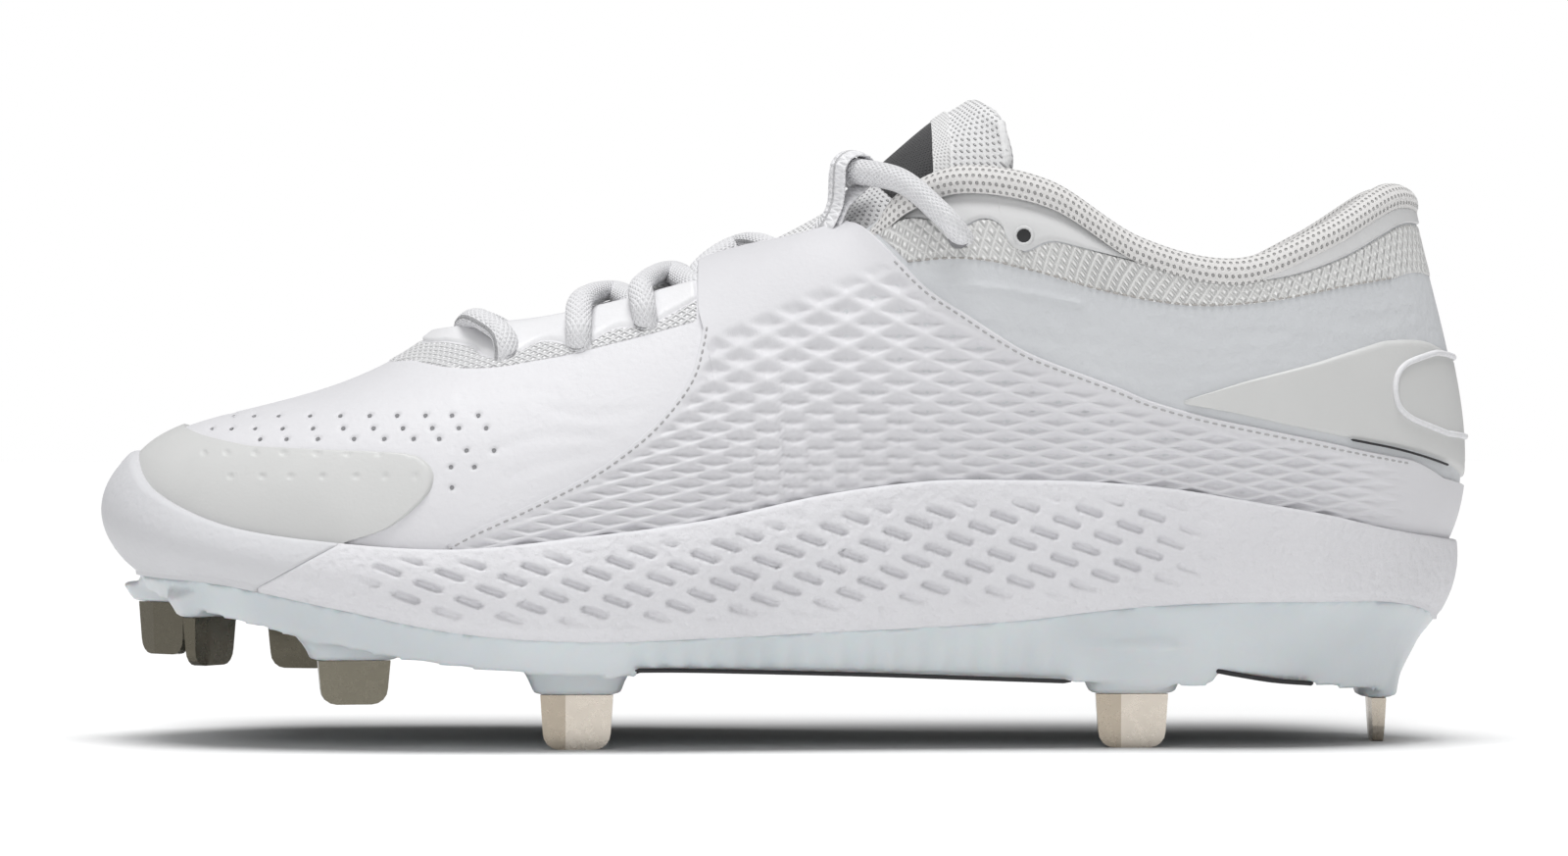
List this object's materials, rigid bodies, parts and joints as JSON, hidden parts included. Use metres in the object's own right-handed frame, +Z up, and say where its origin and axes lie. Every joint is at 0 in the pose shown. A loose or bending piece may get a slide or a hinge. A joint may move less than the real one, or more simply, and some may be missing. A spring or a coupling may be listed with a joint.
{
  "type": "softball cleat",
  "caption": "Low-cut left softball shoe with a hollow laced upper, foam cup midsole, toe guard and a plastic plate carrying metal blade spikes.",
  "frame": {"origin": "on the floor under the middle of the shoe's outer box", "axes": "+X towards the heel, -Y towards the outer side of the foot, +Z up"},
  "size_m": [0.2791, 0.0982, 0.1304],
  "materials": {
    "leather": "white smooth leather",
    "quilt": "white quilted leather",
    "film": "pale grey smooth film",
    "foam": "white pebbled foam",
    "guard": "white smooth rubber",
    "plate": "pale blue-grey plastic",
    "nickel": "warm grey nickel",
    "mesh": "white mesh",
    "lining": "pale textile",
    "cord": "white woven lace"
  },
  "bodies": {
    "root": {"heel_counter": "film", "insole": "lining", "lace_bar": "cord", "lace_cross_1": "cord", "lace_cross_2": "cord", "lace_cross_3": "cord", "lace_top": "cord", "loop_inner": "cord", "loop_outer": "cord", "midsole": "foam", "outsole": "plate", "saddle_inner": "quilt", "saddle_outer": "quilt", "spike_ball_inner": "nickel", "spike_ball_outer": "nickel", "spike_fore_inner": "nickel", "spike_fore_outer": "nickel", "spike_heel_inner": "nickel", "spike_heel_outer": "nickel", "spike_heel_rear": "nickel", "spike_toe_inner": "nickel", "spike_toe_outer": "nickel", "toe_cap": "film", "toe_guard": "guard", "tongue": "mesh", "upper": "leather"}
  },
  "joints": []
}
